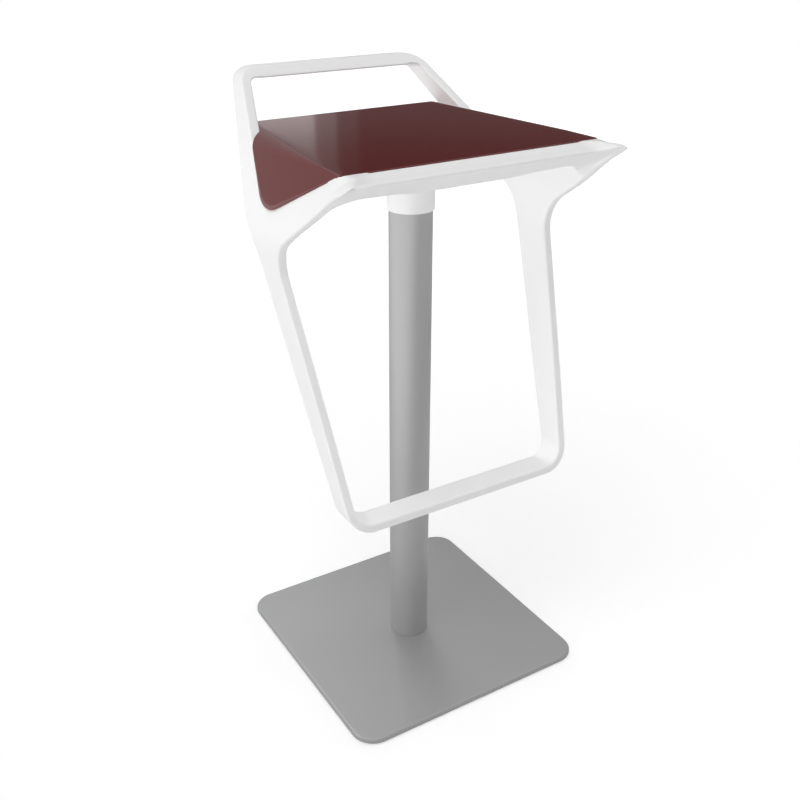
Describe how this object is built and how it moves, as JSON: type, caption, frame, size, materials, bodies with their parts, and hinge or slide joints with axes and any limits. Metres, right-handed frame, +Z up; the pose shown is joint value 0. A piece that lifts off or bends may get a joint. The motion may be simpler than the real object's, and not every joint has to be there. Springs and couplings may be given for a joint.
{
  "type": "swivel bar stool",
  "caption": "Bar stool whose one-piece moulded ribbon frame, with footrest, low back and red shell seat, swivels on a steel column with a square base plate.",
  "frame": {"origin": "centre of the base's footprint, on the floor", "axes": "+Z up, -Y towards where the sitter faces, +X to the sitter's left as they sit facing -Y"},
  "size_m": [0.4356, 0.4437, 0.8743],
  "materials": {
    "steel": "bright zinc plated or ground steel",
    "satin_steel": "satin stainless steel",
    "white_plastic": "gloss white moulded plastic",
    "red_plastic": "high gloss dark red moulded plastic",
    "bearing_plastic": "matte black plastic",
    "brass": "turned brass"
  },
  "bodies": {
    "base": {"base_plate": "steel", "base_cover": "satin_steel", "base_pad": "bearing_plastic", "foot_screws": "steel", "foot_plug": "steel", "column_tube": "satin_steel", "upper_bush": "bearing_plastic", "lower_bush": "bearing_plastic", "bearing_lower_race": "steel", "bearing_balls": "steel", "bearing_cage": "bearing_plastic"},
    "seat": {"bearing_upper_race": "steel", "spindle": "steel", "stop_washer": "steel", "circlip": "steel", "mount_plate": "steel", "mount_screws": "steel", "mount_washers": "steel", "hub_collar": "white_plastic", "seat_frame": "white_plastic", "frame_inserts": "brass", "seat_pan": "red_plastic", "pan_screws": "steel"}
  },
  "joints": [
    {"name": "swivel", "type": "hinge", "parent": "base", "child": "seat", "pos_m": [0, 0, 0.75], "axis": [0, 0, 1], "continuous": true}
  ]
}
